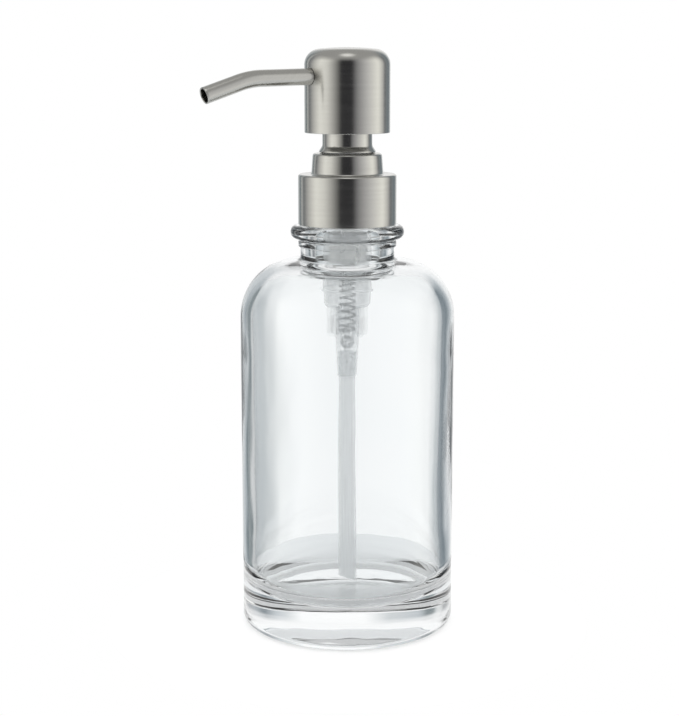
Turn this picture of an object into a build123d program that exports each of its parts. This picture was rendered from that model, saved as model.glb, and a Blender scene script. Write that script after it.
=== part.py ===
from build123d import *
import math
import os

# Soap pump dispenser: a glass bottle with a screw-on lotion pump in a steel-clad head and collar.
# Millimetres. Z is the bottle's axis, z = 0 is the surface that it stands on, and the spout
# points along -X. A running fit is RUN on the radius, and pieces that are pressed together touch.

RUN = 0.05

# Glass bottle
BOTTLE_R = 36.0
BOTTLE_WALL = 3.8
SHOULDER_Z = 125.0
SHOULDER_R = 19.0
FLOOR_Z = 12.5
FLOOR_CORNER_R = 9.0
FOOT_R = 27.5
HEEL_R = 3.0
PUSH_UP = 1.8
NECK_R = 15.7
BEAD_R = 16.4
BEAD_LOW = 129.2
BEAD_HIGH = 131.5
FLANGE_R = 19.0
FLANGE_LOW = 132.0
FLANGE_HIGH = 136.5
MOUTH_R = 10.9
LIP_Z = 148.6

# Screw thread between the bottle and the closure, one start
FINISH_R = 12.7
BOTTLE_CREST_R = 13.85
CAP_BORE_R = 14.0
CAP_CREST_R = 12.95
PITCH = 4.23
TURNS = 1.25
THREAD_Z = 140.2
THREAD_ROOT_WIDTH = 2.1
THREAD_CREST_WIDTH = 1.1

# Closure: plastic cap and the steel shell drawn over it
SHELL_R = 16.4
SHELL_WALL = 0.5
SHELL_BOTTOM = 136.7
SHELL_TOP = 153.5
CAP_BOTTOM = 137.0
CAP_TOP = 153.1
CAP_PLATE_LOW = 151.1
CAP_HOLE_R = 9.0
TIER_FOOT_R = 12.0
TIER_R = 11.5
TIER_TOP = 160.6
TIER_HOLE_R = 8.7

# Pump housing
HOUSING_FLANGE_R = 12.4
HOUSING_TOP = 151.0
GASKET_THICK = 1.0
CYLINDER_R = 8.1
CYLINDER_BORE_R = 6.8
CYLINDER_FLOOR = 110.4
RIM_R = 8.6
RIM_Z = 115.2
SKIRT_R = 7.8
SKIRT_BOTTOM = 109.3
FIN_R = 6.95
FIN_BOTTOM = 98.9
FIN_THICK = 0.9
FIN_COUNT = 8
INLET_R = 3.9
INLET_TIP_R = 3.5
INLET_BOTTOM = 85.7
SPRING_BORE_R = 3.15
SPRING_SEAT = 99.9
BALL_BORE_R = 2.5
BALL_R = 2.25
BALL_Z = 96.8
BALL_GAP = 0.03
SEAT_PORT_R = 1.2
TUBE_SEAT = 93.3
VENT_R = 0.5
VENT_Z = 138.0

# Dip tube
TUBE_R = 3.0
TUBE_BORE_R = 2.15
TUBE_LOW = 13.3
TUBE_HIGH = 16.0

# Plunger: stem, rod and sliding seal, all at the top of their stroke
STEM_R = 3.7
STEM_BORE_R = 2.1
STEM_TOP = 183.0
STEM_BOTTOM = 130.3
STEM_SKIRT_R = 4.3
STEM_STOP_R = 4.9
ROD_R = 2.5
ROD_TOP = 138.0
ROD_FLANGE_R = 4.5
ROD_FLANGE_LOW = 121.8
SEAL_LOW = 123.2
SEAL_HIGH = 129.2
ROD_NOSE_R = 1.9
ROD_NOSE_Z = 113.8
SPRING_R = 2.5
SPRING_WIRE_R = 0.38
SPRING_TURNS = 9

# Chaplet: the fixed guide that the plunger runs in, and its steel sleeve
CHAPLET_BOTTOM = 139.0
CHAPLET_FLANGE_R = 10.5
CHAPLET_FLANGE_LOW = 153.2
CHAPLET_FLANGE_HIGH = 154.8
CHAPLET_NECK_R = 8.25
CHAPLET_STEP_Z = 160.8
CHAPLET_R = 7.75
CHAPLET_TOP = 168.0
LOCK_BORE_R = 6.6
LOCK_BORE_FLOOR = 157.5
LOCK_CREST_R = 5.95
LOCK_THREAD_Z = 159.5
SLEEVE_R = 8.3
SLEEVE_FOOT_R = 9.55
SLEEVE_TOP = 168.4

# Lock-down thread on the head's boss
BOSS_R = 5.7
BOSS_CREST_R = 6.3
BOSS_BOTTOM = 174.0
BOSS_THREAD_Z = 175.0
LOCK_PITCH = 3.0
LOCK_TURNS = 0.75

# Head: steel shell over a plastic core, with a steel spout
HEAD_R = 14.2
HEAD_WALL = 0.6
HEAD_BOTTOM = 167.1
HEAD_TOP = 195.0
HEAD_CROWN_R = 90.0
HEAD_CORNER_R = 5.2
CORE_LOW = 181.5
CORE_HIGH = 188.9
CORE_SKIRT_BOTTOM = 175.0
CORE_SKIRT_WALL = 1.0
POCKET_IN_R = 7.6
POCKET_FLOOR = 184.6
RIB_THICK = 1.4
SPOUT_R = 2.75
SPOUT_BORE_R = 2.25
SPOUT_REACH = 52.0
SPOUT_START = 4.0
SPOUT_AXIS_Z = 185.5
SPOUT_BEND_X = 35.8
SPOUT_BEND_R = 28.0
SPOUT_TILT = 1.4
SPOUT_DROOP = 17.9
SPOUT_HOLE_GAP = 0.15


def turned(*corners):
    """A solid of revolution about Z from (radius, height, corner rounding) triples."""
    points = [(r, 0, z) for r, z, _ in corners]
    rounding = [f for _, _, f in corners]
    return revolve(make_face(FilletPolyline(*points, radius=rounding, close=True)), Axis.Z)


def column(radius, low, high):
    """A plain round column about Z."""
    return Pos(0, 0, low) * Cylinder(radius, high - low, align=(Align.CENTER, Align.CENTER, Align.MIN))


def thread(root_r, crest_r, z, pitch, turns, root_width, crest_width):
    """A right-hand trapezoid ridge that bites into the wall at root_r and stands out to crest_r."""
    outward = math.copysign(1, crest_r - root_r)
    bite = root_r - 0.2 * outward
    plane = Plane(origin=(0, 0, z), x_dir=(1, 0, 0), z_dir=(0, -1, 0))
    section = make_face(
        Polyline(
            (bite, -root_width / 2),
            (crest_r, -crest_width / 2),
            (crest_r, crest_width / 2),
            (bite, root_width / 2),
            close=True,
        )
    )
    path = Helix(pitch=pitch, height=pitch * turns, radius=root_r, center=(0, 0, z))
    return sweep(plane * section, path=path, is_frenet=True)


def domed_column(radius, low, top, crown_r, corner_r):
    """A round column with a shallow spherical top, tangent to a rounded top corner."""
    reach = radius - corner_r
    rise = math.sqrt((crown_r - corner_r) ** 2 - reach**2)
    corner_z = top - crown_r + rise
    angle = math.degrees(math.atan2(rise, reach))
    outline = [
        CenterArc((reach, corner_z), corner_r, 0, angle),
        CenterArc((0, top - crown_r), crown_r, angle, 90 - angle),
        Polyline((0, top), (0, low), (radius, low), (radius, corner_z)),
    ]
    return revolve(Plane.XZ * make_face(outline), Axis.Z)


def glass_bottle():
    """Thick round bottle: foot ring, straight wall, round shoulder, two neck beads and the finish."""
    inner_r = BOTTLE_R - BOTTLE_WALL
    skin = FilletPolyline(
        (FOOT_R, 0, 0),
        (BOTTLE_R, 0, 0),
        (BOTTLE_R, 0, SHOULDER_Z),
        (NECK_R, 0, SHOULDER_Z),
        (NECK_R, 0, BEAD_LOW),
        (BEAD_R, 0, BEAD_LOW),
        (BEAD_R, 0, BEAD_HIGH),
        (NECK_R, 0, BEAD_HIGH),
        (NECK_R, 0, FLANGE_LOW),
        (FLANGE_R, 0, FLANGE_LOW),
        (FLANGE_R, 0, FLANGE_HIGH),
        (FINISH_R, 0, FLANGE_HIGH),
        (FINISH_R, 0, LIP_Z),
        (MOUTH_R, 0, LIP_Z),
        (MOUTH_R, 0, SHOULDER_Z - BOTTLE_WALL),
        (inner_r, 0, SHOULDER_Z - BOTTLE_WALL),
        (inner_r, 0, FLOOR_Z),
        (0, 0, FLOOR_Z),
        radius=[
            HEEL_R, SHOULDER_R, 1.2, 0.15, 0.5, 0.5, 0.2, 0.2, 2.1, 2.1, 0.6, 0.6, 0.6,
            2.0, SHOULDER_R - BOTTLE_WALL, FLOOR_CORNER_R,
        ],
    )
    axis_line = Line((0, 0, FLOOR_Z), (0, 0, PUSH_UP))
    hollow = ThreePointArc((0, 0, PUSH_UP), (FOOT_R / 2, 0, 0.75 * PUSH_UP), (FOOT_R, 0, 0))
    body = revolve(make_face([skin, axis_line, hollow]), Axis.Z)
    ridge = thread(
        FINISH_R, BOTTLE_CREST_R, THREAD_Z, PITCH, TURNS, THREAD_ROOT_WIDTH, THREAD_CREST_WIDTH
    )
    return body + ridge


def closure_cap():
    """Threaded plastic cap. Its ridge runs half a pitch under the bottle's, so it pulls down."""
    inner_r = SHELL_R - SHELL_WALL
    body = turned(
        (CAP_BORE_R, CAP_BOTTOM, 0.3),
        (inner_r, CAP_BOTTOM, 0),
        (inner_r, CAP_TOP, 0.4),
        (CAP_HOLE_R, CAP_TOP, 0),
        (CAP_HOLE_R, CAP_PLATE_LOW, 0),
        (CAP_BORE_R, CAP_PLATE_LOW, 0.5),
    )
    ridge = thread(
        CAP_BORE_R, CAP_CREST_R, THREAD_Z - PITCH / 2 + 0.02, PITCH, TURNS,
        THREAD_ROOT_WIDTH, THREAD_CREST_WIDTH,
    )
    return body + ridge


def collar_shell():
    """Drawn steel shell: straight collar, flat top, and the small tier that hides the chaplet."""
    wall = SHELL_WALL
    return turned(
        (SHELL_R - wall, SHELL_BOTTOM, 0.1),
        (SHELL_R, SHELL_BOTTOM, 0.2),
        (SHELL_R, SHELL_TOP, 0.8),
        (TIER_FOOT_R, SHELL_TOP - 0.1, 0.7),
        (TIER_R, TIER_TOP - 0.3, 0.9),
        (TIER_HOLE_R, TIER_TOP, 0.1),
        (TIER_HOLE_R, TIER_TOP - wall, 0.1),
        (TIER_R - wall, TIER_TOP - 0.3 - wall, 0.4),
        (TIER_FOOT_R - wall, CAP_TOP, 0.2),
        (SHELL_R - wall, CAP_TOP, 0.4),
    )


def bottle_gasket():
    """Flat soft ring between the bottle's lip and the housing's flange."""
    return turned(
        (CYLINDER_R, LIP_Z, 0),
        (HOUSING_FLANGE_R, LIP_Z, 0.1),
        (HOUSING_FLANGE_R, LIP_Z + GASKET_THICK, 0.1),
        (CYLINDER_R, LIP_Z + GASKET_THICK, 0),
    )


def pump_housing():
    """Moulded cylinder with a flange, a skirt, radial fins, the ball seat and the tube socket."""
    flange_low = LIP_Z + GASKET_THICK
    cone_apex = BALL_Z - (BALL_R + BALL_GAP) * math.sqrt(2)
    body = turned(
        (CYLINDER_BORE_R, HOUSING_TOP, 0),
        (HOUSING_FLANGE_R, HOUSING_TOP, 0.2),
        (HOUSING_FLANGE_R, flange_low, 0.2),
        (CYLINDER_R, flange_low, 0),
        (CYLINDER_R, RIM_Z + 0.8, 0),
        (RIM_R, RIM_Z + 0.8, 0.25),
        (RIM_R, RIM_Z, 0.25),
        (SKIRT_R, RIM_Z, 0),
        (SKIRT_R, SKIRT_BOTTOM + 1.2, 0.3),
        (FIN_R, SKIRT_BOTTOM, 0.3),
        (INLET_R, SKIRT_BOTTOM, 0.3),
        (INLET_R, FIN_BOTTOM - 1, 0),
        (INLET_TIP_R, INLET_BOTTOM, 0.15),
        (TUBE_R, INLET_BOTTOM, 0),
        (TUBE_R, TUBE_SEAT, 0),
        (SEAT_PORT_R, TUBE_SEAT, 0),
        (SEAT_PORT_R, cone_apex + SEAT_PORT_R, 0),
        (BALL_BORE_R, cone_apex + BALL_BORE_R, 0),
        (BALL_BORE_R, SPRING_SEAT, 0),
        (SPRING_BORE_R, SPRING_SEAT, 0),
        (SPRING_BORE_R, CYLINDER_FLOOR, 0.4),
        (CYLINDER_BORE_R, CYLINDER_FLOOR + 0.4, 0.4),
    )
    overlap = 0.3
    fin_height = SKIRT_BOTTOM - FIN_BOTTOM + overlap
    fin_length = FIN_R - INLET_R + overlap
    blade = Box(fin_length, FIN_THICK, fin_height, align=(Align.MIN, Align.CENTER, Align.MIN))
    blade = Pos(INLET_R - overlap, 0, FIN_BOTTOM) * blade
    low_edge = blade.edges().filter_by(Axis.Y).sort_by(lambda e: e.center().X - e.center().Z)[-1]
    blade = fillet(low_edge, 1.6)
    for turn in range(FIN_COUNT):
        body += Rot(0, 0, 360 * (turn + 0.5) / FIN_COUNT) * blade
    vent = Pos(0, CYLINDER_R, VENT_Z) * Rot(90, 0, 0) * Cylinder(VENT_R, 4)
    return body - vent


def dip_tube():
    """Plastic suction tube, pressed into the housing, with a slanted foot."""
    tube = column(TUBE_R, TUBE_LOW, TUBE_SEAT) - column(TUBE_BORE_R, TUBE_LOW, TUBE_SEAT)
    slant = math.degrees(math.atan2(TUBE_HIGH - TUBE_LOW, 2 * TUBE_R))
    cutter = Box(40, 40, 20, align=(Align.CENTER, Align.CENTER, Align.MAX))
    return tube - Pos(0, 0, (TUBE_LOW + TUBE_HIGH) / 2) * Rot(0, slant, 0) * cutter


def inlet_ball():
    """Ball that closes the inlet when the piston comes down."""
    return Pos(0, 0, BALL_Z) * Sphere(BALL_R)


def return_spring():
    """Compression spring between the housing's seat and the rod's flange."""
    low = SPRING_SEAT + SPRING_WIRE_R + 0.02
    high = ROD_FLANGE_LOW - SPRING_WIRE_R - 0.02
    path = Helix(
        pitch=(high - low) / SPRING_TURNS, height=high - low, radius=SPRING_R, center=(0, 0, low)
    )
    wire = Plane(origin=path @ 0, z_dir=path % 0) * Circle(SPRING_WIRE_R)
    return sweep(wire, path=path, is_frenet=True)


def piston_rod():
    """Rod pressed into the stem: sealing flange, side ports, and a nose inside the spring."""
    rod = turned(
        (0, ROD_NOSE_Z, 0),
        (ROD_NOSE_R, ROD_NOSE_Z, 0.9),
        (ROD_NOSE_R, ROD_FLANGE_LOW, 0),
        (ROD_FLANGE_R, ROD_FLANGE_LOW, 0.2),
        (ROD_FLANGE_R, SEAL_LOW, 0.2),
        (ROD_R, SEAL_LOW, 0),
        (ROD_R, ROD_TOP, 0.2),
        (0, ROD_TOP, 0),
    )
    port_z = SEAL_LOW + 1.5
    rod -= column(1.3, port_z - 0.6, ROD_TOP)
    for turn in (0, 90):
        rod -= Pos(0, 0, port_z) * Rot(90, 0, turn) * Cylinder(0.8, 2 * ROD_R + 1)
    return rod


def piston_seal():
    """Soft double-lipped seal that slips on the rod and opens the side ports."""
    wiper_r = CYLINDER_BORE_R - RUN
    groove_r = wiper_r - 0.7
    waist_r = wiper_r - 1.2
    hub_r = ROD_FLANGE_R - 0.2
    passage_r = ROD_R + 0.7
    middle = (SEAL_LOW + SEAL_HIGH) / 2
    return turned(
        (passage_r, SEAL_LOW, 0),
        (hub_r, SEAL_LOW, 0),
        (groove_r, SEAL_LOW + 1.0, 0.2),
        (wiper_r - 0.1, SEAL_LOW - 0.6, 0),
        (wiper_r, SEAL_LOW - 0.5, 0),
        (wiper_r, SEAL_LOW + 0.9, 0.3),
        (waist_r, middle, 0.6),
        (wiper_r, SEAL_HIGH - 0.9, 0.3),
        (wiper_r, SEAL_HIGH + 0.5, 0),
        (wiper_r - 0.1, SEAL_HIGH + 0.6, 0),
        (groove_r, SEAL_HIGH - 1.0, 0.2),
        (hub_r, SEAL_HIGH, 0.2),
        (ROD_R + RUN, SEAL_HIGH, 0),
        (ROD_R + RUN, middle, 0),
        (passage_r, middle - 0.6, 0),
    )


def pump_stem():
    """Hollow stem that carries the soap up from the rod to the head."""
    stop_high = CHAPLET_BOTTOM - 0.1
    stop_low = stop_high - 2.2
    return turned(
        (ROD_R, STEM_BOTTOM, 0),
        (STEM_SKIRT_R, STEM_BOTTOM, 0.2),
        (STEM_SKIRT_R, stop_low, 0),
        (STEM_STOP_R, stop_low, 0.2),
        (STEM_STOP_R, stop_high, 0.2),
        (STEM_R, stop_high, 0),
        (STEM_R, STEM_TOP, 0.2),
        (STEM_BORE_R, STEM_TOP, 0),
        (STEM_BORE_R, ROD_TOP, 0),
        (ROD_R, ROD_TOP, 0),
    )


def chaplet():
    """Plastic guide snapped into the housing: it traps the closure and holds the lock thread."""
    guide_r = STEM_R + RUN
    body = turned(
        (guide_r, CHAPLET_BOTTOM, 0.1),
        (CYLINDER_BORE_R, CHAPLET_BOTTOM, 0.2),
        (CYLINDER_BORE_R, HOUSING_TOP, 0),
        (CAP_HOLE_R - 0.3, HOUSING_TOP, 0.1),
        (CAP_HOLE_R - 0.3, CHAPLET_FLANGE_LOW, 0),
        (CHAPLET_FLANGE_R, CHAPLET_FLANGE_LOW, 0.2),
        (CHAPLET_FLANGE_R, CHAPLET_FLANGE_HIGH, 0.2),
        (CHAPLET_NECK_R, CHAPLET_FLANGE_HIGH, 0.3),
        (CHAPLET_NECK_R, CHAPLET_STEP_Z, 0),
        (CHAPLET_R, CHAPLET_STEP_Z, 0),
        (CHAPLET_R, CHAPLET_TOP, 0.2),
        (LOCK_BORE_R, CHAPLET_TOP, 0.2),
        (LOCK_BORE_R, LOCK_BORE_FLOOR, 0.2),
        (guide_r, LOCK_BORE_FLOOR, 0.2),
    )
    return body + thread(LOCK_BORE_R, LOCK_CREST_R, LOCK_THREAD_Z, LOCK_PITCH, LOCK_TURNS, 1.9, 1.1)


def chaplet_sleeve():
    """Drawn steel sleeve over the chaplet, flared at its foot and rolled over its top."""
    return turned(
        (CHAPLET_R, CHAPLET_STEP_Z, 0),
        (SLEEVE_FOOT_R, CHAPLET_STEP_Z, 0.1),
        (SLEEVE_FOOT_R - 0.2, CHAPLET_STEP_Z + 0.4, 0.1),
        (SLEEVE_R, CHAPLET_STEP_Z + 2.0, 1.6),
        (SLEEVE_R, SLEEVE_TOP, 0.3),
        (LOCK_BORE_R + 0.3, SLEEVE_TOP, 0.1),
        (LOCK_BORE_R + 0.3, CHAPLET_TOP, 0),
        (CHAPLET_R, CHAPLET_TOP, 0.2),
    )


def spout_path():
    """The spout's centre line, nearly level out of the head and then drooping in one bend."""
    level = math.tan(math.radians(SPOUT_TILT))
    droop = math.tan(math.radians(SPOUT_DROOP))
    bend_z = SPOUT_AXIS_Z - level * (SPOUT_BEND_X - HEAD_R)
    return FilletPolyline(
        (-SPOUT_START, 0, SPOUT_AXIS_Z + level * (HEAD_R - SPOUT_START)),
        (-SPOUT_BEND_X, 0, bend_z),
        (-SPOUT_REACH, 0, bend_z - droop * (SPOUT_REACH - SPOUT_BEND_X)),
        radius=SPOUT_BEND_R,
    )


def along_spout(radius, start, length):
    """A straight column on the spout's inner run, from start to start + length along it."""
    path = spout_path()
    plane = Plane(origin=path @ 0, z_dir=path % 0)
    return plane * column(radius, start, start + length)


def spout_tube():
    """Bent steel tube with a square-cut end."""
    path = spout_path()
    plane = Plane(origin=path @ 0, z_dir=path % 0)
    return sweep(plane * (Circle(SPOUT_R) - Circle(SPOUT_BORE_R)), path=path)


def head_core():
    """Plastic core: stem socket, cross channel, spout socket, screw boss and a ribbed rim."""
    core_r = HEAD_R - HEAD_WALL
    core = column(core_r, CORE_SKIRT_BOTTOM, CORE_HIGH)
    core -= column(core_r - CORE_SKIRT_WALL, CORE_SKIRT_BOTTOM, CORE_LOW)
    core += column(BOSS_R, BOSS_BOTTOM, CORE_LOW)
    pocket = column(core_r - CORE_SKIRT_WALL, POCKET_FLOOR, CORE_HIGH)
    pocket -= column(POCKET_IN_R, POCKET_FLOOR, CORE_HIGH)
    rib_z = (POCKET_FLOOR + CORE_HIGH) / 2
    rib = Pos(0, 0, rib_z) * Box(2 * core_r, RIB_THICK, CORE_HIGH - POCKET_FLOOR)
    for turn in (45, 90, 135):
        pocket -= Rot(0, 0, turn) * rib
    pocket -= Pos(-core_r / 2, 0, rib_z) * Box(core_r, 2 * SPOUT_R + 2.4, CORE_HIGH - POCKET_FLOOR)
    core -= pocket
    core += thread(BOSS_R, BOSS_CREST_R, BOSS_THREAD_Z, LOCK_PITCH, LOCK_TURNS, 1.9, 1.1)
    core -= column(STEM_R, BOSS_BOTTOM, STEM_TOP)
    core -= column(STEM_BORE_R, STEM_TOP, SPOUT_AXIS_Z)
    core -= along_spout(STEM_BORE_R, -SPOUT_START, SPOUT_START)
    core -= along_spout(SPOUT_R, 0, HEAD_R)
    return core


def head_shell():
    """Drawn steel head with a crowned top, a rounded corner and the hole for the spout."""
    inner_top = HEAD_TOP - HEAD_WALL
    shell = domed_column(HEAD_R, HEAD_BOTTOM, HEAD_TOP, HEAD_CROWN_R, HEAD_CORNER_R)
    shell -= domed_column(
        HEAD_R - HEAD_WALL,
        HEAD_BOTTOM - 1,
        inner_top,
        HEAD_CROWN_R - HEAD_WALL,
        HEAD_CORNER_R - HEAD_WALL,
    )
    return shell - along_spout(SPOUT_R + SPOUT_HOLE_GAP, SPOUT_START, HEAD_R)


PIECES = [
    glass_bottle,
    closure_cap,
    collar_shell,
    bottle_gasket,
    pump_housing,
    dip_tube,
    inlet_ball,
    return_spring,
    piston_rod,
    piston_seal,
    pump_stem,
    chaplet,
    chaplet_sleeve,
    spout_tube,
    head_core,
    head_shell,
]

os.makedirs("parts", exist_ok=True)
for piece in PIECES:
    export_step(piece(), f"parts/{piece.__name__}.step")
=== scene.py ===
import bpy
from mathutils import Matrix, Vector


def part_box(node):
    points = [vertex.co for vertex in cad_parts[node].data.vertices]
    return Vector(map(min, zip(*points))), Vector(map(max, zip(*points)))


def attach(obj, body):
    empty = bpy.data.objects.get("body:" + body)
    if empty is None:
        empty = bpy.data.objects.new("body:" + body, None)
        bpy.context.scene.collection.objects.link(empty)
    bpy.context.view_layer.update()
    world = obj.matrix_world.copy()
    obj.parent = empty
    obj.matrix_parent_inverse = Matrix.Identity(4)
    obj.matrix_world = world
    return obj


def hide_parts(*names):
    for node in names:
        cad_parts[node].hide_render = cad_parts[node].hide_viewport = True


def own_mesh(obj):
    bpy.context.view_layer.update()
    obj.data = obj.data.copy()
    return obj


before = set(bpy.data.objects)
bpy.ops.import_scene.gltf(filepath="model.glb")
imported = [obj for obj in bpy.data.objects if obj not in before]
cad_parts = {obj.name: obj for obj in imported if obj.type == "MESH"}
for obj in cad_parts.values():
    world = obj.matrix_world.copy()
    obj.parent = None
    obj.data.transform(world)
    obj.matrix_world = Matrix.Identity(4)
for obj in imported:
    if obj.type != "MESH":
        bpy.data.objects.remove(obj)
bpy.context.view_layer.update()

import math

import bmesh
import bpy
import numpy as np


# ---------------------------------------------------------------------------------------------
# Glass bottle. Pressed clear glass with a thick base, a straight wall and a round shoulder. Two
# beads are pressed into the neck under the screw finish, and the inside is slightly wavy because
# only the outside touches the mould.

MM = 0.001
bottle_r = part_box("glass_bottle")[1].x / MM
bottle_wall = 3.8
inner_r = bottle_r - bottle_wall
lip_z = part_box("glass_bottle")[1].z / MM
shoulder_z, shoulder_r = 125.0, 19.0
foot_r, heel_r, push_up = 27.5, 3.0, 1.8
neck_r, bead_r, flange_r = 15.7, 16.4, 19.0
bead_low, bead_high, flange_low, flange_high = 129.2, 131.5, 132.0, 136.5
mouth_r, finish_r, crest_r = 10.9, 12.7, 13.85
floor_z, floor_corner = 12.5, 9.0
thread_z, thread_pitch, thread_turns = 140.2, 4.23, 1.25
crest_half, flank, fade_in = 1.05, 0.5, 0.08
wavy_top, wavy_fade, wavy_inset = 104, 12, 0.28
sharp_edge = math.radians(35)


def rounded(corners, closed=True, gap=2.0, arc_gap=0.16):
    """Outline in millimetres through (radius, height, rounding) corners. Each rounding is the arc
    that touches both sides of its corner: its centre lies on the corner's bisector, and the arc's
    points turn evenly from one side to the other. Straight runs get a point every gap or less."""
    corners = np.array(corners, float)
    count = len(corners)
    points = []
    for i, (r, z, size) in enumerate(corners):
        here = np.array([r, z])
        if size == 0:
            points.append(here[None])
            continue
        to_last = corners[i - 1, :2] - here
        to_next = corners[(i + 1) % count, :2] - here
        to_last /= np.hypot(*to_last)
        to_next /= np.hypot(*to_next)
        half = 0.5 * math.acos(np.clip(to_last @ to_next, -1, 1))
        bisector = (to_last + to_next) / np.hypot(*(to_last + to_next))
        centre = here + bisector * size / math.sin(half)
        first = here + to_last * size / math.tan(half) - centre
        last = here + to_next * size / math.tan(half) - centre
        turn = math.pi - 2 * half
        steps = max(4, int(math.ceil(turn * math.sqrt(size) / arc_gap / 2)))
        share = np.linspace(0, 1, steps + 1)[:, None]
        spoke = np.sin((1 - share) * turn) * first + np.sin(share * turn) * last
        points.append(centre + spoke / math.sin(turn))
    path = np.concatenate(points)
    if closed:
        path = np.concatenate([path, path[:1]])
    runs = np.hypot(*np.diff(path, axis=0).T)
    pieces = np.maximum(1, np.ceil(runs / gap)).astype(int)
    whole = np.repeat(np.arange(len(runs)), pieces)
    inner = np.arange(len(whole)) - np.repeat(np.cumsum(pieces) - pieces, pieces)
    share = (inner / pieces[whole])[:, None]
    fine = path[whole] * (1 - share) + path[whole + 1] * share
    return fine if closed else np.concatenate([fine, path[-1:]])


def grid_mesh(name, points, close_rows):
    """Mesh of a (rows, columns, 3) grid in metres. Columns always wrap round; rows wrap when
    close_rows is set. Points that fall together, as at a pole, are merged, and faces are turned
    outwards."""
    rows, columns = points.shape[:2]
    row = np.arange(rows if close_rows else rows - 1)[:, None]
    column = np.arange(columns)[None, :]
    above, beside = (row + 1) % rows, (column + 1) % columns
    this_row, next_row = row * columns, above * columns
    faces = np.stack([this_row + column, this_row + beside, next_row + beside, next_row + column], -1)
    mesh = bpy.data.meshes.new(name)
    mesh.from_pydata(points.reshape(-1, 3), [], faces.reshape(-1, 4))
    work = bmesh.new()
    work.from_mesh(mesh)
    bmesh.ops.remove_doubles(work, verts=work.verts, dist=1e-7)
    bmesh.ops.recalc_face_normals(work, faces=work.faces)
    work.to_mesh(mesh)
    work.free()
    mesh.shade_smooth()
    mesh.set_sharp_from_angle(angle=sharp_edge)
    piece = bpy.data.objects.new(name, mesh)
    bpy.context.scene.collection.objects.link(piece)
    return piece


def lathe(name, outline, sides=160, closed=True, shape=None):
    """Surface of revolution: the outline's point (r, z) goes to (r cos a, r sin a, z) at angle a.
    shape(a, r, z), if given, returns the changed r and z."""
    angle = np.linspace(0, 2 * math.pi, sides, endpoint=False)[None, :]
    r = outline[:, :1] + 0 * angle
    z = outline[:, 1:] + 0 * angle
    if shape:
        r, z = shape(angle + 0 * r, r, z)
    points = np.stack([r * np.cos(angle), r * np.sin(angle), z], -1) * MM
    return grid_mesh(name, points, closed)


def rides(piece, body, slot, *replaced):
    """Fixes a finished piece to its body and hides the node it stands for; slot is not used."""
    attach(piece, body)
    if replaced:
        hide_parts(*replaced)
    return piece


class Socket:
    """A node's output that can be added and multiplied; each operator adds one Math node."""

    def __init__(self, tree, output):
        self.tree = tree
        self.output = output

    def _math(self, operation, first, second):
        return self.tree.add("ShaderNodeMath", {"operation": operation}, {0: first, 1: second})

    def __add__(self, other):
        return self._math("ADD", self, other)

    def __radd__(self, other):
        return self._math("ADD", other, self)

    def __mul__(self, other):
        return self._math("MULTIPLY", self, other)

    def __rmul__(self, other):
        return self._math("MULTIPLY", other, self)


class Shader:
    """One material's or world's nodes. add() takes a node's type, settings and socket values."""

    def __init__(self, owner):
        owner.use_nodes = True
        self.nodes = owner.node_tree.nodes
        self.links = owner.node_tree.links
        self.nodes.clear()

    def add(self, kind, settings=None, sockets=None, out=0):
        """New node; returns the output named or numbered out. A ramp's stops are a setting."""
        node = self.nodes.new(kind)
        for key, value in (settings or {}).items():
            if key == "stops":
                ramp = node.color_ramp
                while len(ramp.elements) < len(value):
                    ramp.elements.new(0.5)
                for stop, (place, colour) in zip(ramp.elements, value):
                    stop.position = place
                    stop.color = colour if len(colour) == 4 else (*colour, 1)
            else:
                setattr(node, key, value)
        for key, value in (sockets or {}).items():
            if isinstance(value, Socket):
                self.links.new(value.output, node.inputs[key])
            else:
                node.inputs[key].default_value = value
        return Socket(self, node.outputs[out]) if node.outputs else None

    def coords(self, scale=(1, 1, 1)):
        """Object coordinates in millimetres, times scale."""
        place = self.add("ShaderNodeTexCoord", out="Object")
        size = [1000 * part for part in scale]
        return self.add("ShaderNodeMapping", None, {"Vector": place, "Scale": size})

    def noise(self, vector, scale, detail=2.0, rough=0.5):
        """Cloudy noise between 0 and 1 that changes over about 1 / scale."""
        sockets = {"Vector": vector, "Scale": scale, "Detail": detail, "Roughness": rough}
        return self.add("ShaderNodeTexNoise", None, sockets)

    def spread(self, value, low, high, at=(0.0, 1.0)):
        """value mapped from the range at to low..high."""
        sockets = {"Value": value, "From Min": at[0], "From Max": at[1], "To Min": low, "To Max": high}
        return self.add("ShaderNodeMapRange", None, sockets)

    def split(self, vector):
        """A vector's x, y and z."""
        parts = self.add("ShaderNodeSeparateXYZ", None, {0: vector}).output.node.outputs
        return [Socket(self, part) for part in parts]

    def blend(self, factor, first, second):
        """Colour mix."""
        settings = {"data_type": "RGBA"}
        return self.add("ShaderNodeMix", settings, {"Factor": factor, 6: first, 7: second}, out=2)

    def bump(self, height, strength, distance):
        """Bumped normal; distance is in metres."""
        sockets = {"Height": height, "Strength": strength, "Distance": distance}
        return self.add("ShaderNodeBump", None, sockets)

    def finish(self, shader, kind="ShaderNodeOutputMaterial"):
        """Feeds the output node."""
        self.add(kind, None, {"Surface": shader})


def material(name, build):
    """New material whose shader build(s) returns."""
    made = bpy.data.materials.new(name)
    shader = Shader(made)
    shader.finish(build(shader))
    return made


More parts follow.
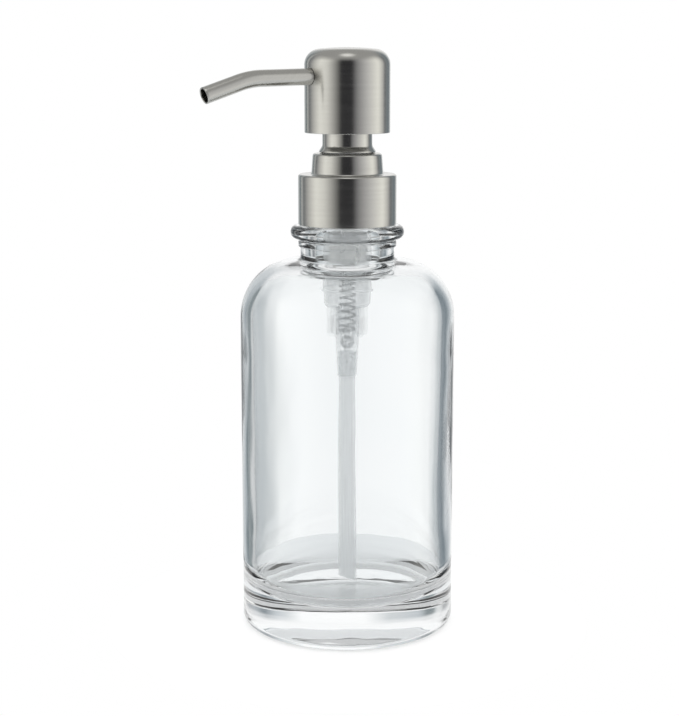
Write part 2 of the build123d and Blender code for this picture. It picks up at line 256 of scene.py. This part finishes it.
def clear_glass(s):
    """Nearly colourless glass with a long, faint waviness and a few soft smears."""
    wave = s.noise(s.coords((1, 1, 0.35)), 0.09, 1.0)
    smear = s.noise(s.coords(), 0.035, 3.0)
    return s.add(
        "ShaderNodeBsdfPrincipled",
        None,
        {
            "Base Color": s.blend(smear, (0.955, 0.975, 0.98, 1), (0.985, 0.992, 0.995, 1)),
            "Roughness": s.spread(smear, 0.0, 0.035, (0.35, 0.8)),
            "Transmission Weight": 1.0,
            "IOR": 1.5,
            "Normal": s.bump(wave, 0.25, 0.0006),
        },
    )


def bottle_shape(angle, r, z):
    """Adds the screw thread and the inner waviness. The thread is a ridge round the finish whose
    centre rises one pitch a turn; its height falls to nothing over the last part of a turn at each
    end. The waviness is a sum of slow sines of angle and height on the inner wall."""
    ridge = 0 * r
    for lap in range(2):
        turned = angle / (2 * math.pi) + lap
        centre = thread_z + thread_pitch * turned
        face = np.clip((crest_half - np.abs(z - centre)) / flank, 0, 1)
        ends = np.clip(np.minimum(turned, thread_turns - turned) / fade_in, 0, 1)
        ridge = np.maximum(ridge, face * np.sqrt(ends))
    on_finish = (np.abs(r - finish_r) < 1e-6) & (z < lip_z)
    wave = 0.15 * np.sin(2 * angle + 0.035 * z) + 0.09 * np.sin(5 * angle - 0.05 * z + 1)
    wave = wave + 0.04 * np.sin(0.16 * z + 2 * np.sin(angle))
    above_floor = np.clip((z - floor_z - floor_corner) / wavy_fade, 0, 1)
    below_shoulder = np.clip((wavy_top - z) / wavy_fade, 0, 1)
    on_wall = np.abs(r - inner_r) < 1e-6
    waviness = on_wall * above_floor * below_shoulder * (wave + wavy_inset)
    return r + on_finish * ridge * (crest_r - finish_r) - waviness, z


push_arc = np.linspace(0, 1, 14)
underside = np.stack([foot_r * push_arc, push_up * (1 - push_arc**2)], -1)
outside = rounded(
    [
        (foot_r, 0, 0), (bottle_r, 0, heel_r), (bottle_r, shoulder_z, shoulder_r),
        (neck_r, shoulder_z, 1.2), (neck_r, bead_low, 0.15), (bead_r, bead_low, 0.5),
        (bead_r, bead_high, 0.5), (neck_r, bead_high, 0.2), (neck_r, flange_low, 0.2),
        (flange_r, flange_low, 2.1), (flange_r, flange_high, 2.1), (finish_r, flange_high, 0.6),
    ],
    closed=False,
)[:-1]
finish_low, lip_round, mouth_z = 137.1, 0.6, 134
finish = rounded(
    [
        (finish_r, finish_low, 0), (finish_r, lip_z, lip_round),
        (mouth_r, lip_z, lip_round), (mouth_r, mouth_z, 0),
    ],
    closed=False,
    gap=0.14,
)
inside = rounded(
    [
        (mouth_r, mouth_z, 0), (mouth_r, shoulder_z - bottle_wall, 2.0),
        (inner_r, shoulder_z - bottle_wall, shoulder_r - bottle_wall), (inner_r, floor_z, floor_corner),
        (0, floor_z, 0),
    ],
    closed=False,
)[1:]
bottle_outline = np.concatenate([underside[:-1], outside, finish, inside])
bottle = lathe("bottle_glass", bottle_outline, 208, closed=False, shape=bottle_shape)
glass = material("clear_glass", clear_glass)
bottle.data.materials.append(glass)
rides(bottle, "bottle", "clear_glass", "glass_bottle")


# ---------------------------------------------------------------------------------------------
# Steel-clad collar and chaplet sleeve. Drawn stainless, brushed while it turns, so the brush lines
# run round the axis. The collar's shell is pressed over the threaded cap and carries the small
# tier; the sleeve is pressed over the fixed chaplet and flares where it meets the tier.

shell_wall = 0.5
shell_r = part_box("collar_shell")[1].x / MM
shell_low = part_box("collar_shell")[0].z / MM
shell_bore = shell_r - shell_wall
shell_top, tier_top, cap_top = 153.5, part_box("collar_shell")[1].z / MM, 153.1
tier_edge = tier_top - 0.3
tier_foot_r, tier_r, tier_hole_r = 12.0, 11.5, 8.7
steel_light = np.array([0.61, 0.60, 0.57])
steel_dark = 0.9 * steel_light


def brushed(s):
    """Satin stainless steel. The brush lines are noise that changes quickly along the outline,
    which is the sum of radius and height, and slowly round the axis."""
    place = s.add("ShaderNodeTexCoord", out="Object")
    x, y, z = s.split(place)
    radius = s.add("ShaderNodeMath", {"operation": "SQRT"}, {0: x * x + y * y})
    run = (radius + z) * 1000
    lines = s.add("ShaderNodeCombineXYZ", None, {0: x * 28, 1: y * 28, 2: run * 5.0})
    coarse = s.add("ShaderNodeCombineXYZ", None, {0: x * 60, 1: y * 60, 2: run * 0.9})
    fine = s.noise(lines, 1.0, 4.0, 0.65)
    soft = s.noise(coarse, 1.0, 2.0)
    cloud = s.noise(place, 55.0, 2.0)
    shade = s.spread(fine * 0.7 + soft * 0.3, 0, 1, (0.3, 0.7))
    return s.add(
        "ShaderNodeBsdfPrincipled",
        None,
        {
            "Base Color": s.blend(shade, (*steel_dark, 1), (*steel_light, 1)),
            "Metallic": 1.0,
            "Roughness": s.spread(soft * 0.6 + cloud * 0.4, 0.17, 0.24, (0.3, 0.7)),
            "Anisotropic": 0.4,
            "Anisotropic Rotation": 0.25,
            "Normal": s.bump(fine, 0.03, 0.00003),
        },
    )


steel = material("brushed_steel", brushed)
collar = lathe(
    "collar_steel",
    rounded(
        [
            (shell_bore, shell_low, 0.1), (shell_r, shell_low, 0.2), (shell_r, shell_top, 0.8),
            (tier_foot_r, shell_top - 0.1, 0.7), (tier_r, tier_edge, 0.9), (tier_hole_r, tier_top, 0.1),
            (tier_hole_r, tier_top - shell_wall, 0.1), (tier_r - shell_wall, tier_edge - shell_wall, 0.4),
            (tier_foot_r - shell_wall, cap_top, 0.2), (shell_bore, cap_top, 0.4),
        ]
    ),
)
collar.data.materials.append(steel)
rides(collar, "closure", "brushed_steel", "collar_shell")

sleeve_low, sleeve_top = (corner.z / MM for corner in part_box("chaplet_sleeve"))
sleeve_r, sleeve_foot_r, sleeve_lip_r = 8.3, 9.5, 6.9
sleeve_wall, chaplet_top = 0.55, 168.0
sleeve = lathe(
    "sleeve_steel",
    rounded(
        [
            (sleeve_r - sleeve_wall, sleeve_low, 0), (sleeve_foot_r, sleeve_low, 0.1),
            (sleeve_foot_r - 0.15, sleeve_low + 0.4, 0.1), (sleeve_r, sleeve_low + 2.0, 1.6),
            (sleeve_r, sleeve_top, 0.3), (sleeve_lip_r, sleeve_top, 0.1), (sleeve_lip_r, chaplet_top, 0),
            (sleeve_r - sleeve_wall, chaplet_top, 0.2),
        ]
    ),
)
sleeve.data.materials.append(steel)
rides(sleeve, "pump", "brushed_steel", "chaplet_sleeve")


# ---------------------------------------------------------------------------------------------
# Head shell and spout. The head is a deep-drawn stainless cup, brushed like the collar, with a
# slightly crowned top. The spout is a thin bent tube pushed through a hole in its side; its end is
# cut square and only just deburred.

head_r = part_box("head_shell")[1].x / MM
head_low, head_top = (corner.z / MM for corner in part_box("head_shell"))
head_wall, crown_r, corner_r = 0.6, 90.0, 5.2
spout_r, spout_bore = 2.75, 2.25
spout_start, spout_z, spout_bend_x, spout_bend_r = 4.0, 185.5, 35.8, 28.0
spout_tilt, spout_droop = math.radians(1.4), math.radians(17.9)
spout_reach = -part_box("spout_tube")[0].x / MM
spout_turn = spout_droop - spout_tilt
bend_back = spout_bend_r * math.tan(spout_turn / 2)
first_run = (spout_bend_x - spout_start) / math.cos(spout_tilt) - bend_back


def dome(radius, low, top, crown, corner):
    """Half outline of a cup from its rim to its pole: a straight side, a corner arc of radius
    corner, and a crown arc of radius crown that touches it."""
    reach = radius - corner
    rise = math.sqrt((crown - corner) ** 2 - reach**2)
    swing = math.atan2(rise, reach)
    high = top - crown + rise
    side = np.stack([np.full(14, radius), np.linspace(low, high, 14, endpoint=False)], -1)
    turn = np.linspace(0, swing, 22)
    edge = np.stack([reach + corner * np.cos(turn), high + corner * np.sin(turn)], -1)
    turn = np.linspace(swing, math.pi / 2, 14)[1:]
    cap = np.stack([crown * np.cos(turn), top - crown + crown * np.sin(turn)], -1)
    cap[-1, 0] = 0
    return np.concatenate([side, edge, cap])


side_low = head_low + 0.15
bore_r = head_r - head_wall
outer_cup = dome(head_r, side_low, head_top, crown_r, corner_r)
inner_cup = dome(bore_r, side_low, head_top - head_wall, crown_r - head_wall, corner_r - head_wall)
rim = np.array([[bore_r + 0.12, head_low], [head_r - 0.12, head_low]])
head = lathe("head_steel", np.concatenate([inner_cup[::-1], rim, outer_cup]), 192, closed=False)
head.data.materials.append(steel)


def spout_line(run):
    """Point on the spout's centre line and its direction angle below level, at a distance run
    along it: straight, then an arc of the bend's radius, then straight."""
    slope = spout_tilt + np.clip((run - first_run) / spout_bend_r, 0, spout_turn)
    straight = np.minimum(run, first_run)
    beyond = np.maximum(run - first_run - spout_bend_r * spout_turn, 0)
    x = spout_start + straight * math.cos(spout_tilt) + beyond * math.cos(spout_droop)
    x = x + spout_bend_r * (np.sin(slope) - math.sin(spout_tilt))
    z = spout_z + math.tan(spout_tilt) * (head_r - spout_start) - straight * math.sin(spout_tilt)
    z = z - spout_bend_r * (math.cos(spout_tilt) - np.cos(slope)) - beyond * math.sin(spout_droop)
    return -x, z, slope


def spout_length():
    """Length of the centre line out to the spout's reach, allowing for the tilted end."""
    tip = spout_reach - spout_r * math.sin(spout_droop)
    last_run = (tip - spout_bend_x) / math.cos(spout_droop) - bend_back
    return first_run + spout_bend_r * spout_turn + last_run


def tube(name, run, radius, closed=True, sides=48):
    """Tube round the spout's line: at each distance run a ring of the given radius, square to the
    line. The rings go out along the outside and come back along the bore when it is closed."""
    x, z, slope = spout_line(run)
    angle = np.linspace(0, 2 * math.pi, sides, endpoint=False)[None, :]
    across, up = radius[:, None] * np.cos(angle), radius[:, None] * np.sin(angle)
    points = np.stack(
        [
            x[:, None] - up * np.sin(slope)[:, None],
            across,
            z[:, None] + up * np.cos(slope)[:, None],
        ],
        -1,
    )
    return grid_mesh(name, points * MM, closed)


end = spout_length()
rings = 90
out_run = np.linspace(0, end - 0.12, rings)
lip_run = np.array([end - 0.04, end, end, end - 0.05])
lip_radius = np.array([spout_r - 0.03, spout_r - 0.12, spout_bore + 0.1, spout_bore + 0.03])
spout = tube(
    "spout_steel",
    np.concatenate([out_run, lip_run, out_run[::-1]]),
    np.concatenate([np.full(rings, spout_r), lip_radius, np.full(rings, spout_bore)]),
)
spout.data.materials.append(steel)
rides(spout, "head", "brushed_steel", "spout_tube")

# The hole for the spout is cut by a closed tube on the spout's own line, a little wider than it.
hole_r, hole_from, hole_to = 2.92, 5.0, 16.0
drill_run = np.array([hole_from, hole_from, hole_to, hole_to])
drill = tube("spout_drill", drill_run, np.array([0, hole_r, hole_r, 0]), closed=False, sides=64)
hole = head.modifiers.new("hole", "BOOLEAN")
hole.object = drill
hole.operation = "DIFFERENCE"
hole.solver = "EXACT"
bpy.context.view_layer.update()
evaluated = bpy.context.evaluated_depsgraph_get()
holed = bpy.data.meshes.new_from_object(head.evaluated_get(evaluated))
head.modifiers.clear()
head.data = holed
holed.set_sharp_from_angle(angle=sharp_edge)
bpy.data.objects.remove(drill)
rides(head, "head", "brushed_steel", "head_shell")


# ---------------------------------------------------------------------------------------------
# Pump housing and dip tube. The housing is one natural polypropylene moulding: cylinder, skirt,
# radial fins and the tapering inlet. The dip tube is milky polyethylene, pressed in and cut aslant.

cylinder_r, cylinder_bore, housing_top = 8.1, 6.8, 151.0
housing_flange_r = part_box("pump_housing")[1].x / MM
housing_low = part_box("pump_housing")[0].z / MM
tube_r, tube_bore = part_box("dip_tube")[1].x / MM, 2.15
tube_seat, tube_mean, tube_slant = 93.3, 14.65, 2.7
flange_under, rib_r, rib_high, rib_low = 149.6, 8.6, 116.0, 115.2
skirt_r, skirt_bend, skirt_low = 7.8, 110.5, 109.3
inlet_r, inlet_bend, inlet_foot_r = 3.9, 97.9, 3.5
port_r, ball_bore, spring_bore, spring_ledge = 1.2, 2.5, 3.15, 99.9
step_low, step_high = 110.4, 110.8
ball_z, ball_r = 96.8, 2.28
seat_apex = ball_z - ball_r * math.sqrt(2)
fin_r, fin_low, fin_high, fin_half, fin_count = 6.95, 98.9, 109.6, 0.45, 8
fin_root, fin_corner = 3.6, 1.6


def natural_plastic(s, thin=0.26, thick=0.32):
    """Unpigmented moulded plastic: white, a little see-through, with faint flow marks. thin and
    thick are how much of the light its lightest and densest places stop."""
    flow = s.noise(s.coords((1, 1, 0.3)), 0.35, 3.0)
    grain = s.noise(s.coords(), 3.0, 2.0)
    return s.add(
        "ShaderNodeBsdfPrincipled",
        None,
        {
            "Base Color": s.blend(flow, (0.79, 0.82, 0.83, 1), (0.87, 0.89, 0.90, 1)),
            "Roughness": s.spread(grain, 0.3, 0.45),
            "IOR": 1.49,
            "Alpha": s.spread(flow, thin, thick),
            "Normal": s.bump(grain, 0.08, 0.0001),
        },
    )


def milky_tube(s):
    """Extruded tube: milky, glossier than the mouldings, with long draw lines."""
    lines = s.noise(s.coords((6, 6, 0.05)), 0.8, 2.0)
    return s.add(
        "ShaderNodeBsdfPrincipled",
        None,
        {
            "Base Color": s.blend(lines, (0.81, 0.83, 0.84, 1), (0.89, 0.90, 0.905, 1)),
            "Roughness": s.spread(lines, 0.2, 0.34),
            "IOR": 1.51,
            "Alpha": s.spread(lines, 0.38, 0.48),
        },
    )


# The fins are so thin that they hide less behind them than the cylinder's wall does.
natural = material("natural_plastic", natural_plastic)
natural_blade = material("natural_blade", lambda s: natural_plastic(s, 0.10, 0.16))
tube_plastic = material("milky_tube", milky_tube)
housing = lathe(
    "housing_plastic",
    rounded(
        [
            (cylinder_bore, housing_top, 0), (housing_flange_r, housing_top, 0.2),
            (housing_flange_r, flange_under, 0.2), (cylinder_r, flange_under, 0.3),
            (cylinder_r, rib_high, 0.2), (rib_r, rib_high, 0.25), (rib_r, rib_low, 0.25),
            (skirt_r, rib_low, 0.2), (skirt_r, skirt_bend, 0.3), (fin_r, skirt_low, 0.3),
            (inlet_r, skirt_low, 0.3), (inlet_r, inlet_bend, 0), (inlet_foot_r, housing_low, 0.15),
            (tube_r, housing_low, 0), (tube_r, tube_seat, 0), (port_r, tube_seat, 0),
            (port_r, seat_apex + port_r, 0), (ball_bore, seat_apex + ball_bore, 0),
            (ball_bore, spring_ledge, 0), (spring_bore, spring_ledge, 0), (spring_bore, step_low, 0.4),
            (cylinder_bore, step_high, 0.4),
        ]
    ),
    96,
)
housing.data.materials.append(natural)
rides(housing, "pump", "natural_plastic", "pump_housing")


def fin(name, turn):
    """A flat radial blade: its outline in radius and height is a rectangle whose outer lower
    corner is rounded. The rows are the middle of one face, that face's outline, the other face's
    outline and its middle; offset is the distance from the blade's own plane."""
    corner = np.linspace(0, math.pi / 2, 9)
    corner_at_r = fin_r - fin_corner + fin_corner * np.sin(corner)
    corner_at_z = fin_low + fin_corner - fin_corner * np.cos(corner)
    r = np.concatenate([[fin_root], corner_at_r, [fin_r, fin_root]])
    z = np.concatenate([[fin_low], corner_at_z, [fin_high, fin_high]])
    offset = np.array([0, 1, 1, -1, -1, 0])[:, None] * fin_half + 0 * r
    spread = np.array([0, 1, 1, 1, 1, 0])[:, None]
    r = r.mean() + (r - r.mean()) * spread
    z = z.mean() + (z - z.mean()) * spread
    x = r * math.cos(turn) - offset * math.sin(turn)
    y = r * math.sin(turn) + offset * math.cos(turn)
    return grid_mesh(name, np.stack([x, y, z], -1) * MM, False)


for count in range(fin_count):
    blade = fin(f"housing_fin_{count + 1}", 2 * math.pi * (count + 0.5) / fin_count)
    blade.data.materials.append(natural_blade)
    rides(blade, "pump", "natural_plastic", "pump_housing")


def slanted(angle, r, z):
    """Moves the tube's foot up or down with the distance across it, so the cut is a slanted plane."""
    foot = z < tube_mean + 0.01
    return r, z - foot * tube_slant / 2 * (r * np.cos(angle) / tube_r)


tube_section = [
    (tube_bore, tube_mean, 0), (tube_r, tube_mean, 0), (tube_r, tube_seat, 0), (tube_bore, tube_seat, 0),
]
dip = lathe("dip_tube_plastic", rounded(tube_section), 64, shape=slanted)
dip.data.materials.append(tube_plastic)
rides(dip, "pump", "tube_plastic", "dip_tube")


# ---------------------------------------------------------------------------------------------
# Spring and ball. The spring is stainless wire with one dead coil at each end. It stands on the
# ledge over the ball and is built at full length; the real spring shortens when the head is pressed.

spring_low, spring_high = spring_ledge, 121.8
coil_r, wire_r, coil_turns, press = 2.5, 0.38, 9.5, 10.5


def coil(name, sides=12, per_turn=36):
    """Round wire along a helix whose height rises slowly over the dead coils and evenly between
    them; the section lies square to the helix, between the radial direction and the binormal. The
    first and last rings are repeated with no radius, which closes the ends."""
    turn = np.linspace(0, coil_turns, int(coil_turns * per_turn) + 1)
    dead = 2.1 * wire_r
    live = (spring_high - spring_low - 2 * wire_r - 2 * dead) / (coil_turns - 2)
    z = spring_low + wire_r + dead * np.minimum(turn, 1) + live * np.clip(turn - 1, 0, coil_turns - 2)
    z = z + dead * np.maximum(turn - coil_turns + 1, 0)
    angle = 2 * math.pi * turn
    lead = np.gradient(z, angle) / coil_r
    rise = np.arctan(lead)
    out = np.stack([np.cos(angle), np.sin(angle), 0 * angle], -1)
    side = np.stack([np.sin(rise) * np.sin(angle), -np.sin(rise) * np.cos(angle), np.cos(rise)], -1)
    middle = out * coil_r
    middle[:, 2] = z
    ends_twice = np.concatenate([[0], np.arange(len(turn)), [len(turn) - 1]])
    middle, out, side = (line[ends_twice][:, None, :] for line in (middle, out, side))
    radius = np.concatenate([[0], np.full(len(turn), wire_r), [0]])[:, None, None]
    ring = np.linspace(0, 2 * math.pi, sides, endpoint=False)[None, :, None]
    across = out * np.cos(ring) + side * np.sin(ring)
    return grid_mesh(name, (middle + radius * across) * MM, False)


def wire_steel(s):
    """Drawn wire: grey, with fine die lines round it."""
    lines = s.noise(s.coords((4, 4, 1)), 1.5, 2.0)
    return s.add(
        "ShaderNodeBsdfPrincipled",
        None,
        {
            "Base Color": s.blend(lines, (0.13, 0.13, 0.14, 1), (0.24, 0.24, 0.24, 1)),
            "Metallic": 1.0,
            "Roughness": s.spread(lines, 0.25, 0.4),
        },
    )


wire = material("spring_wire", wire_steel)
spring = coil("spring_wire")
spring.data.materials.append(wire)
rides(spring, "pump", "spring_steel", "return_spring")
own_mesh(spring)


def polished(s):
    """Polished ball: bright, with faint clouding."""
    cloud = s.noise(s.coords(), 0.6, 2.0)
    return s.add(
        "ShaderNodeBsdfPrincipled",
        None,
        {
            "Base Color": s.blend(cloud, (0.55, 0.55, 0.56, 1), (0.7, 0.7, 0.7, 1)),
            "Metallic": 1.0,
            "Roughness": s.spread(cloud, 0.08, 0.16),
        },
    )


def dress(name, made):
    """Gives a node that keeps its CAD shape its material."""
    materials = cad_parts[name].data.materials
    materials.clear()
    materials.append(made)


dress("inlet_ball", material("ball_polish", polished))


# ---------------------------------------------------------------------------------------------
# Inner mouldings and seals. They keep their CAD shape: the threaded cap, the chaplet, the stem, the
# rod and the head's core are polypropylene; the gasket and the piston seal are softer and whiter.


def soft_white(s):
    """Soft, slightly warm elastomer with a dull, cloudy surface."""
    cloud = s.noise(s.coords(), 0.9, 3.0)
    return s.add(
        "ShaderNodeBsdfPrincipled",
        None,
        {
            "Base Color": s.blend(cloud, (0.80, 0.795, 0.77, 1), (0.90, 0.895, 0.87, 1)),
            "Roughness": s.spread(cloud, 0.45, 0.6),
            "Normal": s.bump(cloud, 0.1, 0.0001),
        },
    )


def solid_plastic(s):
    """Opaque moulded plastic with faint flow marks."""
    flow = s.noise(s.coords((1, 1, 0.3)), 0.3, 3.0)
    return s.add(
        "ShaderNodeBsdfPrincipled",
        None,
        {
            "Base Color": s.blend(flow, (0.76, 0.78, 0.79, 1), (0.88, 0.89, 0.89, 1)),
            "Roughness": s.spread(flow, 0.35, 0.5),
            "IOR": 1.49,
        },
    )


seal_white = material("soft_white", soft_white)
for name in ["bottle_gasket", "piston_seal"]:
    dress(name, seal_white)
moulded = material("solid_plastic", solid_plastic)
for name in ["closure_cap", "chaplet", "pump_stem", "piston_rod", "head_core"]:
    dress(name, moulded)


# ---------------------------------------------------------------------------------------------
# Studio: a pale floor, a soft surround and the camera. The surround has a broad light on each side
# of the camera, is dark straight behind it, which draws the stripe down the steel, and has narrow
# dark zones behind the bottle, which draw the edges of the glass.

view_azimuth, camera_distance, camera_height = -30.0, 0.535, 0.1915
camera_pitch, camera_lens = 9.35, 80.7

floor_radius, floor_sides = 0.082, 64
floor_mesh = bpy.data.meshes.new("floor")
ring = np.linspace(0, 2 * math.pi, floor_sides, endpoint=False)
floor_points = np.stack([floor_radius * np.cos(ring), floor_radius * np.sin(ring), 0 * ring], -1)
floor_mesh.from_pydata(floor_points, [], [list(range(floor_sides))])
floor = bpy.data.objects.new("floor", floor_mesh)
bpy.context.scene.collection.objects.link(floor)


def pale_floor(s):
    """Matt white and glowing a little, with painted shade where it is seen through the glass: base and
    glow are dimmer there.
    """
    # Painted shade: seen through the glass, the floor's colour and glow are darkened to a blue-grey.
    painted_glass_shade = s.add("ShaderNodeLightPath", out="Transmission Depth") * 0.5
    return s.add(
        "ShaderNodeBsdfPrincipled",
        None,
        {
            "Base Color": s.blend(painted_glass_shade, (0.45, 0.45, 0.45, 1), (0.32, 0.325, 0.33, 1)),
            "Roughness": 0.9,
            "Specular IOR Level": 0.1,
            "Emission Color": s.blend(painted_glass_shade, (1, 1, 1, 1), (0.72, 0.735, 0.74, 1)),
            "Emission Strength": 0.48,
        },
    )


floor.data.materials.append(material("pale_floor", pale_floor))

azimuth = math.radians(view_azimuth)
toward = (math.sin(azimuth), -math.cos(azimuth), 0.0)
right = (math.cos(azimuth), math.sin(azimuth), 0.0)
world = bpy.data.worlds.new("studio")
bpy.context.scene.world = world
sky = Shader(world)
direction = sky.add("ShaderNodeTexCoord", out="Generated")


def along(axis):
    """How far the direction looked in goes along an axis, -1 to 1."""
    settings = {"operation": "DOT_PRODUCT"}
    return sky.add("ShaderNodeVectorMath", settings, {0: direction, 1: axis}, out="Value")


front, side, up = along(toward), along(right), along((0.0, 0.0, 1.0))
swing = sky.add("ShaderNodeMath", {"operation": "ARCTAN2"}, {0: side, 1: front})
ramp_place = sky.spread(swing, 0.0, 1.0, (-math.pi, math.pi))


# Swing round the bottle in degrees, from 0 behind the camera to 180 behind the bottle, and the
# surround's colour there.
zones = [
    (-174, (0.80, 0.80, 0.80)), (-166, (0.50, 0.52, 0.53)), (-151, (0.40, 0.43, 0.45)),
    (-145, (0.12, 0.15, 0.16)), (-140, (0.14, 0.17, 0.18)), (-136, (0.55, 0.56, 0.56)),
    (-131, (0.50, 0.51, 0.51)), (-126, (0.17, 0.18, 0.19)), (-120, (0.20, 0.21, 0.22)),
    (-104, (0.52, 0.52, 0.51)), (-78, (0.96, 0.96, 0.92)), (-56, (0.80, 0.80, 0.77)),
    (-17, (0.03, 0.03, 0.033)), (13, (0.03, 0.03, 0.033)), (26, (0.26, 0.26, 0.27)),
    (56, (0.62, 0.62, 0.62)), (90, (1.0, 1.0, 0.95)), (110, (0.55, 0.55, 0.54)),
    (119, (0.17, 0.18, 0.19)), (134, (0.24, 0.27, 0.29)), (143, (0.12, 0.15, 0.17)),
    (152, (0.42, 0.45, 0.47)), (158, (0.54, 0.56, 0.57)), (164, (0.80, 0.80, 0.80)),
]
stops = [(0.5 + degrees / 360, colour) for degrees, colour in zones]
surround = sky.add("ShaderNodeValToRGB", {"stops": stops}, {0: ramp_place})

# Overhead is a dim roof with a lamp a little in front of the object, and far below is a pale table.
overhead = sky.spread(up, 0.0, 1.0, (0.45, 0.75))
lamp = sky.spread(up + 0.3 * front, 0.0, 1.0, (1.0, 1.06))
roof = sky.blend(lamp, (0.36, 0.36, 0.355, 1), (1.3, 1.3, 1.28, 1))
table = sky.spread(up, 1.0, 0.0, (-0.55, -0.36))
lit = sky.blend(overhead, sky.blend(table, surround, (0.64, 0.655, 0.665, 1)), roof)

# Light that has gone through the glass finds the camera's side and the roof pale grey, plastic and
# floor are lit by an even soft sky, and the backdrop itself is white.
through = sky.add("ShaderNodeLightPath", out="Transmission Depth")
clear = sky.spread(front, 0.0, 1.0, (0.1, 0.4)) + sky.spread(up, 0.0, 0.8, (0.25, 0.5))
lit = sky.blend(through * clear, lit, (0.78, 0.78, 0.78, 1))
scattered = sky.add("ShaderNodeLightPath", out="Diffuse Depth")
upper = sky.spread(up, 0.0, 1.0, (-0.1, 0.3))
soft = sky.blend(upper, (0.84, 0.84, 0.84, 1), (1.4, 1.4, 1.4, 1))
evened = sky.blend(scattered, lit, soft)
seen = sky.add("ShaderNodeLightPath", out="Is Camera Ray")
shown = sky.blend(seen, evened, (0.80, 0.80, 0.80, 1))
backdrop = sky.add("ShaderNodeBackground", None, {"Color": shown, "Strength": 1.25})
sky.finish(backdrop, "ShaderNodeOutputWorld")

scene = bpy.context.scene
scene.view_settings.view_transform = "Standard"
lens = bpy.data.cameras.new("camera")
lens.lens = camera_lens
lens.sensor_width = 36.0
lens.shift_x, lens.shift_y = -0.011, -0.05
camera = bpy.data.objects.new("camera", lens)
camera.location = (toward[0] * camera_distance, toward[1] * camera_distance, camera_height)
camera.rotation_euler = (math.radians(90 - camera_pitch), 0, azimuth)
scene.collection.objects.link(camera)
scene.camera = camera

bpy.context.view_layer.update()
